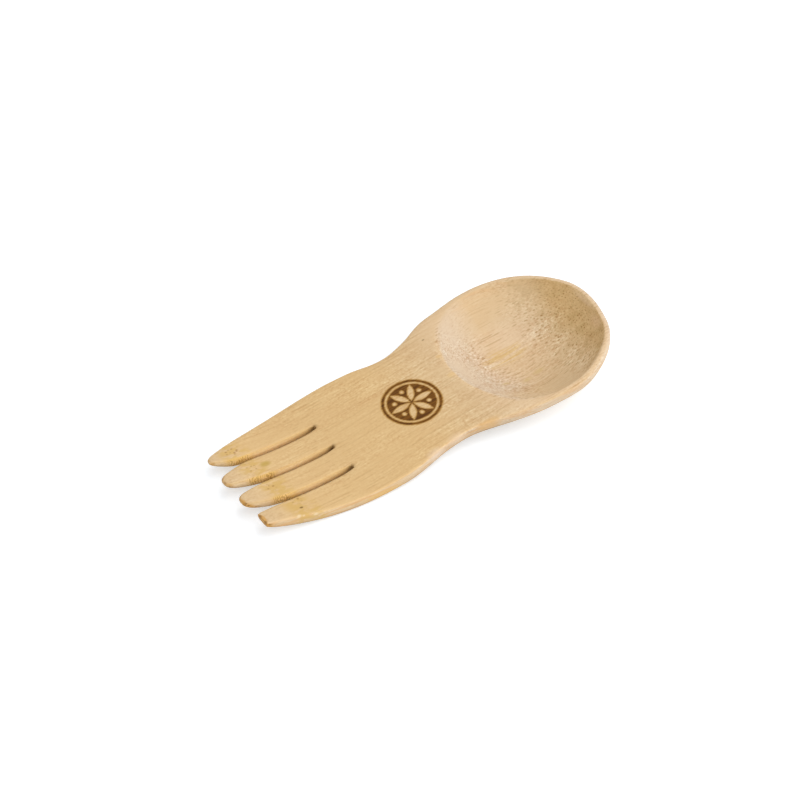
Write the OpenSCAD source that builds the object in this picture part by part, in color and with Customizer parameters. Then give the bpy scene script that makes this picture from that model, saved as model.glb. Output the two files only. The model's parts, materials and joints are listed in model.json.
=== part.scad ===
/* [Blank] */
// Length from the tine tips to the end of the bowl
length = 120; // [112:1:135]
// Thickness of the blank along its edges
edge_t = 3.1; // [2.4:0.1:3.8]
// How far in from the outline the edge starts to round
edge_r = 1.3; // [0.8:0.1:1.6]

/* [Fork] */
// Width across the outer tines where the fork is broadest
fork_w = 41.8; // [39:0.2:46]
// Width between the sides of the fork, carried on to the tips
fork_tip_w = 28; // [26:0.2:31]
// Distance from the tips to where the fork is broadest
fork_wide_x = 41.6; // [37:0.2:48]
// Length of the slots, measured from the tips
slot_l = 32; // [26:0.2:36]
// Width of each slot at its root
slot_w = 1.1; // [0.8:0.1:2]
// Distance from one slot to the next
slot_pitch = 9; // [8.4:0.1:9.6]
// Rounding along the edges of the slots
slot_r = 0.9; // [0.4:0.1:1.2]
// Length over which that rounding grows from the root of a slot
slot_ease_l = 4; // [2:0.5:8]

/* [Tine tips] */
// Length over which a tine narrows to its tip
taper_l = 13; // [9:0.5:18]
// Width that a tine narrows to
tip_w = 4; // [3:0.1:5]
// Thickness of a tine at its tip
tip_t = 1.7; // [1.2:0.1:2.2]
// Length over which a tine thins to its tip
thin_l = 8; // [5:0.5:12]
// Length of the rounded end of a tip
cap_l = 2; // [1:0.1:3]
// Most that a tip is cut back
trim_l = 1.3; // [0.3:0.1:2]
// Most that the outer edge of a tip stands out from the curve of the fork
flare_w = 0.7; // [0:0.1:1]

/* [Neck] */
// Width of the neck
neck_w = 36.6; // [32:0.2:38]
// Distance from the tips to the middle of the neck
neck_x = 61.2; // [56:0.2:66]

/* [Bowl] */
// Width of the bowl
bowl_w = 49.6; // [45:0.2:54]
// Distance from the tips to the deepest place of the bowl
bowl_x = 92; // [88:0.5:96]
// Depth of the bowl below its rim
bowl_depth = 7; // [5.5:0.1:8.5]
// Thickness of the bowl's floor
bowl_floor_t = 2.4; // [1.8:0.1:3.2]
// Flat of the rim, between its rounded edge and the hollow
rim_flat_w = 0.5; // [0.2:0.1:1.5]
// Reach of the hollow from its deepest place towards the neck
hollow_neck_l = 19.8; // [16:0.2:23]
// Reach of the swelling underneath from there towards the neck
swell_neck_l = 25; // [22:0.5:29]
// Depth to which the underside of the bowl is sanded flat
seat_cut = 0.4; // [0.3:0.1:0.8]

/* [Side view] */
// Distance from the tips to the belly of the fork
belly_x = 25.5; // [22:0.5:30]
// Rise of the tips above the belly
tip_rise = 3.6; // [2:0.1:5]

/* [Hidden] */

// Shapes of the curves
shoulder_power = 0.78;
belly_bend_share = 0.15;
hollow_power = 2.5;
lip_powers = [0.84, 1.4];
swell_powers = [0.95, 2];
edge_power = 0.6;
end_power = 2.12;

// How each of the four tines, from the far side to the near one, differs at its hand-cut tip
blunt_shares = [0.42, 0.36, 0.4, 0.85];
tip_w_shares = [0.6, 0.95, 1, 1.25];
trim_shares = [0.6, 0, 0.12, 1];
flare_shares = [-0.6, 0, 0, 1];

// How finely each stretch is drawn
per_tine = 5;
per_edge = 5;
tine_steps = 20;
plate_steps = 34;
end_steps = 16;
tip_crowd_power = 0.8;
hollow_shares = [0, 0.2, 0.38, 0.54, 0.68, 0.8, 0.895, 0.965, 1];

half_n = 2 * per_tine;
ring_n = 2 * (2 * half_n + per_edge);
tine_ring_n = 2 * (per_tine + per_edge);
body_rings = plate_steps + end_steps + 1;

function lerp(a, b, t) = a + (b - a) * t;
function unit(t) = min(1, max(0, t));
function ease(t) = unit(t) * unit(t) * (3 - 2 * unit(t));
function between(x, a, b) = unit((x - a) / (b - a));
function reversed(list) = [for (k = [len(list) - 1:-1:0]) list[k]];

// Plan: half the width of the outline at a distance x from the tips, as far as the middle of the bowl
function half_width(x) =
    x < fork_wide_x ? lerp(fork_w, fork_tip_w, pow((fork_wide_x - x) / fork_wide_x, 2)) / 2
    : x < neck_x ? lerp(fork_w, neck_w, ease(between(x, fork_wide_x, neck_x))) / 2
    : lerp(neck_w, bowl_w, ease(pow(between(x, neck_x, bowl_x), shoulder_power))) / 2;

// Side view: the blank dips to the belly of the fork, then climbs steadily to the end of the bowl.
// The climb is such that the bowl and the belly rest on the same flat surface.
bowl_rise = bowl_depth + bowl_floor_t - edge_t;
function climb(x) =
    let (u = (x - belly_x) / (bowl_x - belly_x), c = belly_bend_share)
    (sqrt(u * u + c * c) - c) / (sqrt(1 + c * c) - c);
function under(x) = x < belly_x ? tip_rise * pow((belly_x - x) / belly_x, 2) : bowl_rise * climb(x);
function over(x) = under(x) + edge_t;

// The hollow of the bowl and the swelling below it, as shares of their full depth
end_l = length - bowl_x;
rim_w = edge_r + rim_flat_w;
function reach(x, y, rim, neck_l) =
    let (u = abs(x - bowl_x) / (x > bowl_x ? end_l - rim : neck_l),
         v = abs(y) / (bowl_w / 2 - rim),
         p = x > bowl_x ? end_power : 2)
    pow(pow(u, p) + pow(v, p), 1 / p);
function softened(powers, x, neck_l) = lerp(powers[0], powers[1], between(x, bowl_x, bowl_x - neck_l));
function hollow(x, y) =
    let (r = min(1, reach(x, y, rim_w, hollow_neck_l)))
    pow(1 - pow(r, hollow_power), softened(lip_powers, x, hollow_neck_l));
function swell(x, y) =
    let (r = min(1, reach(x, y, edge_r, swell_neck_l)))
    pow(1 - pow(r, 2), softened(swell_powers, x, swell_neck_l));
function top_z(x, y) = over(x) - bowl_depth * hollow(x, y);
function low_z(x, y) = max(0, under(x) - (bowl_rise + seat_cut) * swell(x, y));

// Places across half the plate at a distance x from the tips, from the middle line outwards:
// they follow the tines at the root of the slots, are even in the neck and follow the hollow in the bowl
function flat_half(x) = half_width(x) - edge_r;
function root_y(x, j) =
    j < per_tine ? lerp(slot_w / 2, slot_pitch - slot_w / 2, j / (per_tine - 1))
    : lerp(slot_pitch + slot_w / 2, flat_half(x), (j - per_tine) / (per_tine - 1));
function even_y(x, j) = flat_half(x) * (j + 1 / 2) / (half_n - 1 / 2);
function hollow_half(x) = (bowl_w / 2 - rim_w) * sqrt(1 - pow(min(1, (bowl_x - x) / hollow_neck_l), 2));
function bowl_y(x, j) = j < half_n - 1 ? hollow_half(x) * hollow_shares[j] : flat_half(x);
function plate_y(x, j) =
    let (to_neck = ease(between(x, slot_l, neck_x)),
         to_bowl = ease(between(x, bowl_x - hollow_neck_l, bowl_x - hollow_neck_l / 3)))
    lerp(lerp(root_y(x, j), even_y(x, j), to_neck), bowl_y(x, j), to_bowl);

// Ribs of the plate: they cross it as far as the middle of the bowl, then fan out round the end of the bowl
function rib_x(i) = lerp(slot_l, bowl_x, i / plate_steps);
function fan_turn(i) = 90 * (i - plate_steps) / end_steps;
function full_sin(i) = pow(sin(fan_turn(i)), 2 / end_power);
function full_cos(i) = pow(cos(fan_turn(i)), 2 / end_power);
function fan_edge(i, side, rim) =
    [(end_l - rim) * full_sin(i), side * (bowl_w / 2 - rim) * full_cos(i)];
function fan_facing(i, side) =
    let (n = [bowl_w / 2 * pow(full_sin(i), end_power - 1), side * end_l * pow(full_cos(i), end_power - 1)])
    n / norm(n);
function rib_facing(i, side) = i <= plate_steps ? [0, side] : fan_facing(i, side);
function rib_places(i, side) =
    i <= plate_steps ? [for (j = [0:half_n - 1]) [rib_x(i), side * plate_y(rib_x(i), j)]]
    : [for (j = [0:half_n - 1])
          [bowl_x, 0] + (j < half_n - 1 ? fan_edge(i, side, rim_w) * hollow_shares[j]
                         : fan_edge(i, side, 0) - edge_r * fan_facing(i, side))];

// The edge, from the upper face to the lower one: an upright side with rounded corners
function edge_turn(k) = 90 - 180 * k / (per_edge + 1);
function edge_out(k) = pow(cos(edge_turn(k)), edge_power);
function edge_up(k) = sign(edge_turn(k)) * pow(abs(sin(edge_turn(k))), edge_power);
function edge_arc(at, facing) = [
    for (k = [1:per_edge])
        let (p = at + facing * edge_r * edge_out(k))
        [p[0], p[1], under(p[0]) + edge_t / 2 * (1 + edge_up(k))]
];
function rib(i, side) =
    let (places = rib_places(i, side))
    concat([for (p = places) [p[0], p[1], top_z(p[0], p[1])]],
           edge_arc(places[half_n - 1], rib_facing(i, side)),
           [for (p = reversed(places)) [p[0], p[1], low_z(p[0], p[1])]]);
function body_ring(i) = concat(rib(i, 1), reversed(rib(i, -1)));

// Tines: their low sides face the middle line and their high sides face away from it
tine_sides = [1, 1, -1, -1];
function is_outer(t) = t == 0 || t == 3;
function tip_x(t) = trim_l * trim_shares[t];
function tine_x(t, i) = lerp(slot_l, tip_x(t), ease(pow(i / tine_steps, tip_crowd_power)));
function narrowing(t, x) = pow(1 - between(x, tip_x(t), tip_x(t) + taper_l), 2);
function capped(t, x) =
    lerp(blunt_shares[t], 1, sqrt(1 - pow(1 - between(x, tip_x(t), tip_x(t) + cap_l), 2)));
function tine_t(t, x) = lerp(tip_t, edge_t, sin(90 * between(x, tip_x(t), tip_x(t) + thin_l)));
function outer_y(t, x) = half_width(x) + flare_w * flare_shares[t] * narrowing(t, x);
function tip_low_y(t) =
    is_outer(t) ? outer_y(t, tip_x(t)) - tip_w * tip_w_shares[t] : (slot_pitch - tip_w * tip_w_shares[t]) / 2;
function tip_high_y(t) = (slot_pitch + tip_w * tip_w_shares[t]) / 2;
function low_y(t, x) =
    lerp((is_outer(t) ? slot_pitch : 0) + slot_w / 2, tip_low_y(t), narrowing(t, x));
function high_y(t, x) =
    is_outer(t) ? outer_y(t, x) : lerp(slot_pitch - slot_w / 2, tip_high_y(t), narrowing(t, x));

// The outer side of an outer tine, and a side along a slot, upright at the root and well rounded beyond it
function outer_arc(y, r, mid, half_t) = [
    for (k = [1:per_edge]) [y + r * (edge_out(k) - 1), mid + half_t * edge_up(k)]
];
function slot_arc(y, r, mid, half_t, way, rounding) = [
    for (k = [1:per_edge])
        [y + way * r * rounding * (cos(edge_turn(k)) - 1),
         mid + half_t * lerp(1 - 2 * k / (per_edge + 1), sin(edge_turn(k)), rounding)]
];
function tine_ring(t, i) =
    let (x = tine_x(t, i),
         c = capped(t, x),
         mid_y = (low_y(t, x) + high_y(t, x)) / 2,
         low = lerp(mid_y, low_y(t, x), c),
         high = lerp(mid_y, high_y(t, x), c),
         mid = under(x) + edge_t / 2,
         half_t = tine_t(t, x) * c / 2,
         soft = ease((slot_l - x) / slot_ease_l),
         low_r = slot_r * c,
         high_r = (is_outer(t) ? edge_r : slot_r) * c,
         face_low = low + low_r * soft,
         face_high = high - high_r * (is_outer(t) ? 1 : soft),
         face = [for (j = [0:per_tine - 1]) lerp(face_low, face_high, j / (per_tine - 1))],
         section = concat(
             [for (y = face) [y, mid + half_t]],
             is_outer(t) ? outer_arc(high, high_r, mid, half_t)
             : slot_arc(high, high_r, mid, half_t, 1, soft),
             [for (y = reversed(face)) [y, mid - half_t]],
             reversed(slot_arc(low, low_r, mid, half_t, -1, soft))))
    [for (p = section) [x, tine_sides[t] * p[0], p[1]]];
function tip_middle(t) =
    let (ring = tine_ring(t, tine_steps)) (ring[0] + ring[per_tine + per_edge]) / 2;

// Numbers of the points: the plate's rings, the tines' rings and the middles of the tips
tines_at = body_rings * ring_n;
tine_points = (tine_steps + 1) * tine_ring_n;
middles_at = tines_at + len(tine_sides) * tine_points;
tines = [0:len(tine_sides) - 1];
points = concat(
    [for (i = [0:body_rings - 1], p = body_ring(i)) p],
    [for (t = tines, i = [0:tine_steps], p = tine_ring(t, i)) p],
    [for (t = tines) tip_middle(t)]);
function body_point(i, k) = i * ring_n + (k + ring_n) % ring_n;
// At the root a tine shares its points with the first ring of the plate, apart from those on the slots' walls
function rib_place(t, k) =
    let (first = is_outer(t) ? per_tine : 0)
    k < per_tine ? first + k
    : k < per_tine + per_edge ? (is_outer(t) ? half_n + k - per_tine : undef)
    : k < 2 * per_tine + per_edge ? 2 * half_n - first - 2 * per_tine + k
    : undef;
function tine_point(t, i, k) =
    let (place = (k + tine_ring_n) % tine_ring_n, shared = i == 0 ? rib_place(t, place) : undef)
    is_undef(shared) ? tines_at + t * tine_points + i * tine_ring_n + place
    : body_point(0, tine_sides[t] > 0 ? shared : -1 - shared);

// Faces, in triangles
function quad(a, b, c, d) = [[a, b, c], [a, c, d]];
function flip(f) = [f[0], f[2], f[1]];
plate_faces = [
    for (i = [0:body_rings - 2], k = [0:ring_n - 1],
         f = quad(body_point(i, k), body_point(i, k + 1), body_point(i + 1, k + 1), body_point(i + 1, k))) f
];
function side_faces(t) = [
    for (i = [0:tine_steps - 1], k = [0:tine_ring_n - 1],
         f = quad(tine_point(t, i, k), tine_point(t, i + 1, k),
                  tine_point(t, i + 1, k + 1), tine_point(t, i, k + 1))) f
];
function tip_faces(t) = [
    for (k = [0:tine_ring_n - 1])
        [middles_at + t, tine_point(t, tine_steps, k + 1), tine_point(t, tine_steps, k)]
];
function tine_faces(t) =
    let (list = concat(side_faces(t), tip_faces(t)))
    tine_sides[t] > 0 ? list : [for (f = list) flip(f)];
// The end wall of a slot, between the sides of two tines at the root
function high_side(t) = [for (k = [0:per_edge + 1]) tine_point(t, 0, per_tine - 1 + k)];
function low_side(t) = [for (k = [0:per_edge + 1]) tine_point(t, 0, -k)];
function wall_faces(a, b) = [for (k = [0:per_edge], f = quad(a[k], b[k], b[k + 1], a[k + 1])) f];
drawn = concat(
    plate_faces,
    [for (t = tines, f = tine_faces(t)) f],
    wall_faces(low_side(0), high_side(1)),
    wall_faces(low_side(1), low_side(2)),
    wall_faces(high_side(2), low_side(3)));
// Where ribs meet at the middle of the bowl and at its end, faces shrink to nothing and are left out
function is_open(f) =
    points[f[0]] != points[f[1]] && points[f[1]] != points[f[2]] && points[f[2]] != points[f[0]];
faces = [for (f = drawn) if (is_open(f)) f];

// The whole spork, carved from one strip of bamboo
module bamboo_spork() {
    color("burlywood") translate([-length / 2, 0, 0]) polyhedron(points, faces);
}

bamboo_spork();
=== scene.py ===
"""A bamboo spork on a white studio floor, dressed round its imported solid.

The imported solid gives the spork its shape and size. A finer copy of it is worked over as sanding
by hand leaves it, and takes a bamboo finish: rods of fibre along the length, which show as streaks
on the flats and as dots where the bowl cuts across them, the culm's ring across the tines, amber
cut ends, and a scorched rosette on the neck.
"""

import json
import logging
import math
from dataclasses import dataclass
from enum import Enum
from typing import Union

import bmesh
import bpy
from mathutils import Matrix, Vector

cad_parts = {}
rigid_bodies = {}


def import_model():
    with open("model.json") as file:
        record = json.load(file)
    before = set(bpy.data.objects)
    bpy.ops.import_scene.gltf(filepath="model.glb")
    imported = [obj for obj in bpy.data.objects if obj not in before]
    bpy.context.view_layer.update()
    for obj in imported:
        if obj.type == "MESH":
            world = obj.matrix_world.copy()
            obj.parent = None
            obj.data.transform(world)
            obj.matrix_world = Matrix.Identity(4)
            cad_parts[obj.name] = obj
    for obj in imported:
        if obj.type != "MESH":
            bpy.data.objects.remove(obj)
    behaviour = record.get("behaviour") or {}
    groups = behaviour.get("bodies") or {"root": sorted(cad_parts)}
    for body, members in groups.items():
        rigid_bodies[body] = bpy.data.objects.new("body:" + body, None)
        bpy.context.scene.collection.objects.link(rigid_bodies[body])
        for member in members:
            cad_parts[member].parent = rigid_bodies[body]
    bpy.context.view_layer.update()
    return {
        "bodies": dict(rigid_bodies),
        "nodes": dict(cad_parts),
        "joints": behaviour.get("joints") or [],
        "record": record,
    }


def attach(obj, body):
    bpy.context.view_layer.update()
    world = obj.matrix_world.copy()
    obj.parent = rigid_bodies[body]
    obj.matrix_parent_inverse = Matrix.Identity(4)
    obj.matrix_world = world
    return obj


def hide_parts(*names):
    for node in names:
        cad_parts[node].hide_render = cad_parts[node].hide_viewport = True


LOG = logging.getLogger("spork")
MM = 0.001
CAD_NODE = "bamboo_spork"
BODY = "root"

Socket = bpy.types.NodeSocket
Outputs = bpy.types.NodeOutputs
Colour = tuple[float, float, float, float]
Triple = tuple[float, float, float]
Span = tuple[float, float]
Feed = Union[Socket, float, Triple, Colour]

WHITE: Colour = (1.0, 1.0, 1.0, 1.0)
WHOLE: Span = (0.0, 1.0)
NOISE_MIDDLE = 0.5


class Sum(Enum):
    """The sums that the shader graphs do on single values."""

    ADD = "ADD"
    SUBTRACT = "SUBTRACT"
    MULTIPLY = "MULTIPLY"
    DIVIDE = "DIVIDE"
    LARGER = "MAXIMUM"
    SMALLER = "MINIMUM"
    SIZE = "ABSOLUTE"
    WRAP = "WRAP"
    ANGLE = "ARCTAN2"
    COSINE = "COSINE"
    SINE = "SINE"


class Reach(Enum):
    """The sums that the shader graphs do on places."""

    ADD = "ADD"
    SUBTRACT = "SUBTRACT"
    STRETCH = "MULTIPLY"
    SCALE = "SCALE"
    LENGTH = "LENGTH"


class Lay(Enum):
    """How one colour is laid over another."""

    COVER = "MIX"
    TINT = "MULTIPLY"


@dataclass(frozen=True)
class Noise:
    """A noise pattern, by its repeats in a millimetre, its finer layers and their strength."""

    stretch: Triple
    detail: float = 2.0
    rough: float = 0.5


class Graph:
    """Adds and joins the shader nodes of one node tree."""

    NODES_IN_ROW = 12
    NODE_STEP = (180, -220)
    # Blender's places of the Mix node's sockets for colours: share, under and over, and the result.
    MIX_INPUTS = (0, 6, 7)
    MIX_OUTPUT = 2

    def __init__(self, tree: bpy.types.NodeTree) -> None:
        """Starts on an empty tree.

        Args:
            tree: the node tree of a material, world or node group.
        """
        self.tree = tree
        self.tree.nodes.clear()

    def node(self, kind: str, **settings: object) -> bpy.types.Node:
        """Adds one node.

        Args:
            kind: Blender's name of the node type.
            **settings: properties of the node, by name.

        Returns:
            The new node.
        """
        made = self.tree.nodes.new(kind)
        row, column = divmod(len(self.tree.nodes), self.NODES_IN_ROW)
        made.location = (self.NODE_STEP[0] * column, self.NODE_STEP[1] * row)
        for name, value in settings.items():
            setattr(made, name, value)
        return made

    def feed(self, socket: Socket, value: Feed) -> None:
        """Joins an output to an input, or sets the input where the value is plain.

        Args:
            socket: the input.
            value: an output socket, or a plain number, triple or colour.
        """
        if isinstance(value, Socket):
            self.tree.links.new(value, socket)
        else:
            socket.default_value = value

    def sum(self, kind: Sum, first: Feed, second: Feed = 0.0, third: Feed = 0.0) -> Socket:
        """Does a sum on single values.

        Args:
            kind: the sum.
            first: its first value.
            second: its second value, if it has one.
            third: its third value, if it has one.

        Returns:
            The result.
        """
        made = self.node("ShaderNodeMath", operation=kind.value)
        for socket, value in zip(made.inputs, (first, second, third)):
            self.feed(socket, value)
        return made.outputs[0]

    def product(self, *values: Feed) -> Socket:
        """Multiplies values with each other.

        Args:
            *values: the values, the first of them an output socket.

        Returns:
            The product.
        """
        result = values[0]
        for value in values[1:]:
            result = self.sum(Sum.MULTIPLY, result, value)
        return result

    def rest(self, share: Feed) -> Socket:
        """Gives what a share leaves of 1."""
        return self.sum(Sum.SUBTRACT, 1.0, share)

    def place(self, kind: Reach, first: Feed, second: Feed = (0.0, 0.0, 0.0)) -> Socket:
        """Does a sum on places.

        Args:
            kind: the sum.
            first: a place.
            second: a place, or the factor of a plain scaling.

        Returns:
            The new place, or the length.
        """
        made = self.node("ShaderNodeVectorMath", operation=kind.value)
        self.feed(made.inputs[0], first)
        self.feed(made.inputs["Scale" if kind is Reach.SCALE else 1], second)
        return made.outputs["Value" if kind is Reach.LENGTH else "Vector"]

    def split(self, value: Feed) -> tuple[Socket, Socket, Socket]:
        """Splits a place, direction or colour.

        Args:
            value: what is split.

        Returns:
            Its three parts.
        """
        made = self.node("ShaderNodeSeparateXYZ")
        self.feed(made.inputs[0], value)
        return made.outputs[0], made.outputs[1], made.outputs[2]

    def join(self, x: Feed, y: Feed, z: Feed) -> Socket:
        """Joins three parts.

        Args:
            x: the part along the spork.
            y: the part across it.
            z: the part upwards.

        Returns:
            The place that they make.
        """
        made = self.node("ShaderNodeCombineXYZ")
        for socket, value in zip(made.inputs, (x, y, z)):
            self.feed(socket, value)
        return made.outputs[0]

    def ease(
        self, value: Feed, start: Feed, end: Feed, low: Feed = 0.0, high: Feed = 1.0
    ) -> Socket:
        """Gives a soft step.

        Args:
            value: what the step follows.
            start: the value where the step begins.
            end: the value where it is complete, which may be the lower one.
            low: the result before the step.
            high: the result after it.

        Returns:
            The step's result.
        """
        made = self.node("ShaderNodeMapRange", interpolation_type="SMOOTHSTEP")
        for socket, item in zip(made.inputs, (value, start, end, low, high)):
            self.feed(socket, item)
        return made.outputs[0]

    def noise(self, place: Feed, pattern: Noise) -> tuple[Socket, Socket]:
        """Adds a noise pattern.

        Args:
            place: where it is read, in millimetres.
            pattern: what it is like.

        Returns:
            Its value, and three values of its own as a colour. All lie about NOISE_MIDDLE.
        """
        made = self.node("ShaderNodeTexNoise", noise_dimensions="3D")
        self.feed(made.inputs["Vector"], self.place(Reach.STRETCH, place, pattern.stretch))
        made.inputs["Scale"].default_value = 1.0
        made.inputs["Detail"].default_value = pattern.detail
        made.inputs["Roughness"].default_value = pattern.rough
        return made.outputs[0], made.outputs[1]

    def lay(self, over: Feed, under: Feed, share: Feed, how: Lay = Lay.COVER) -> Socket:
        """Lays one colour over another.

        Args:
            over: the colour that is laid on.
            under: the colour that it is laid on.
            share: how much of it covers, from 0 to 1.
            how: the way it covers.

        Returns:
            The colour that shows.
        """
        made = self.node("ShaderNodeMix", data_type="RGBA", blend_type=how.value)
        for index, value in zip(self.MIX_INPUTS, (share, under, over)):
            self.feed(made.inputs[index], value)
        return made.outputs[self.MIX_OUTPUT]

    def group(self, tree: bpy.types.NodeTree, **values: Feed) -> Outputs:
        """Places a node group.

        Args:
            tree: the group.
            **values: its inputs, by name.

        Returns:
            The group's outputs, by name.
        """
        made = self.node("ShaderNodeGroup")
        made.node_tree = tree
        for name, value in values.items():
            self.feed(made.inputs[name], value)
        return made.outputs


class GroupGraph(Graph):
    """A shader node group, with its named inputs and outputs."""

    def __init__(self, name: str, inputs: dict[str, str], outputs: tuple[str, ...]) -> None:
        """Makes the group.

        Args:
            name: the group's name.
            inputs: the kind of each input socket, by name.
            outputs: the names of the outputs, which are all single values.
        """
        super().__init__(bpy.data.node_groups.new(name, "ShaderNodeTree"))
        for label, kind in inputs.items():
            self.tree.interface.new_socket(label, in_out="INPUT", socket_type=kind)
        for label in outputs:
            self.tree.interface.new_socket(label, in_out="OUTPUT", socket_type="NodeSocketFloat")
        self.inputs = self.node("NodeGroupInput").outputs
        self.ends = self.node("NodeGroupOutput").inputs

    def give(self, **values: Feed) -> bpy.types.NodeTree:
        """Joins results to the group's outputs.

        Args:
            **values: the results, by the name of the output.

        Returns:
            The finished group.
        """
        for name, value in values.items():
            self.feed(self.ends[name], value)
        return self.tree


@dataclass(frozen=True)
class Surface:
    """What the finish reads at a point of the surface: its place in millimetres and its facing.

    The last one, sideways, is the size of facing_y, whichever side the point faces.
    """

    place: Socket
    x: Socket
    y: Socket
    facing_x: Socket
    facing_y: Socket
    facing_z: Socket
    sideways: Socket


@dataclass(frozen=True)
class Zones:
    """Masks of the parts: the outline, its upright sides, the walls of the slots and the bowl."""

    outer: Socket
    side: Socket
    slots: Socket
    bowl: Socket


@dataclass(frozen=True)
class Patch:
    """A soft round or long patch of the surface, seen from above. Lengths are in millimetres."""

    x: float
    y: float
    half_l: float
    half_w: float
    edge: float = 0.5

    def mask(self, g: Graph, s: Surface) -> Socket:
        """Gives 1 within the patch, 0 beyond it and a soft step between.

        Args:
            g: the graph of the material.
            s: what the finish reads of the surface.

        Returns:
            The mask.
        """
        along = g.sum(Sum.DIVIDE, g.sum(Sum.SUBTRACT, s.x, self.x), self.half_l)
        across = g.sum(Sum.DIVIDE, g.sum(Sum.SUBTRACT, s.y, self.y), self.half_w)
        return g.ease(g.place(Reach.LENGTH, g.join(along, across, 0.0)), 1.0, self.edge)


@dataclass(frozen=True)
class BambooFibres:
    """Rods of dark fibre along the culm, in a ground that is drawn out the same way.

    Lengths are in millimetres.
    """

    tilt: float = 0.096
    curl_x: float = -35.0
    curl: float = 0.006
    crowding: float = 2.7
    spacing: float = 0.92
    radius: float = 0.26
    scatter: float = 0.85
    thin_share: float = 0.50
    thick_share: float = 1.40
    soft_share: float = 0.35
    sway: float = 1.5
    sway_noise: Noise = Noise((0.055, 0.14, 0.05), 1.0)
    bend_noise: Noise = Noise((0.42, 0.35, 0.12), 1.0)
    lines_noise: Noise = Noise((0.050, 1.00, 0.50), 4.0, 0.62)
    dashes_noise: Noise = Noise((0.16, 1.6, 1.2), 2.0, 0.55)
    flecks_noise: Noise = Noise((1.30, 1.7, 1.2), 1.0)

    def build(self) -> bpy.types.NodeTree:
        """Makes the node group that draws the fibres, which lie closer in depth than across.

        Returns:
            The group, with the inputs Place and Bend and the outputs Rod, Shade, Lines, Dashes
            and Flecks.
        """
        kinds = {"Place": "NodeSocketVector", "Bend": "NodeSocketFloat"}
        g = GroupGraph("bamboo_fibres", kinds, ("Rod", "Shade", "Lines", "Dashes", "Flecks"))
        x, y, z = g.split(g.inputs["Place"])
        back = g.sum(Sum.LARGER, g.sum(Sum.SUBTRACT, self.curl_x, x), 0.0)
        rise = g.product(g.sum(Sum.LARGER, x, self.curl_x), self.tilt)
        rise = g.sum(Sum.ADD, rise, g.product(back, back, self.curl))
        deep = g.product(g.sum(Sum.SUBTRACT, z, rise), self.crowding)
        place = g.join(x, y, deep)
        lines, _ = g.noise(place, self.lines_noise)
        dashes, _ = g.noise(place, self.dashes_noise)
        flecks, _ = g.noise(place, self.flecks_noise)
        swayed = place
        bends = ((self.sway_noise, self.sway), (self.bend_noise, g.inputs["Bend"]))
        for pattern, amount in bends:
            _, drift = g.noise(place, pattern)
            drift = g.place(Reach.SUBTRACT, drift, (NOISE_MIDDLE,) * 3)
            swayed = g.place(Reach.ADD, swayed, g.place(Reach.SCALE, drift, amount))
        _, across, deep = g.split(swayed)
        cells = g.node("ShaderNodeTexVoronoi", voronoi_dimensions="2D", feature="F1")
        g.feed(cells.inputs["Vector"], g.join(across, deep, 0.0))
        cells.inputs["Scale"].default_value = 1 / self.spacing
        cells.inputs["Randomness"].default_value = self.scatter
        away = g.product(cells.outputs["Distance"], self.spacing)
        chance, shade, _ = g.split(cells.outputs["Color"])
        radius = g.product(g.ease(chance, *WHOLE, self.thin_share, self.thick_share), self.radius)
        rod = g.ease(away, radius, g.product(radius, self.soft_share))
        return g.give(Rod=rod, Shade=shade, Lines=lines, Dashes=dashes, Flecks=flecks)


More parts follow.
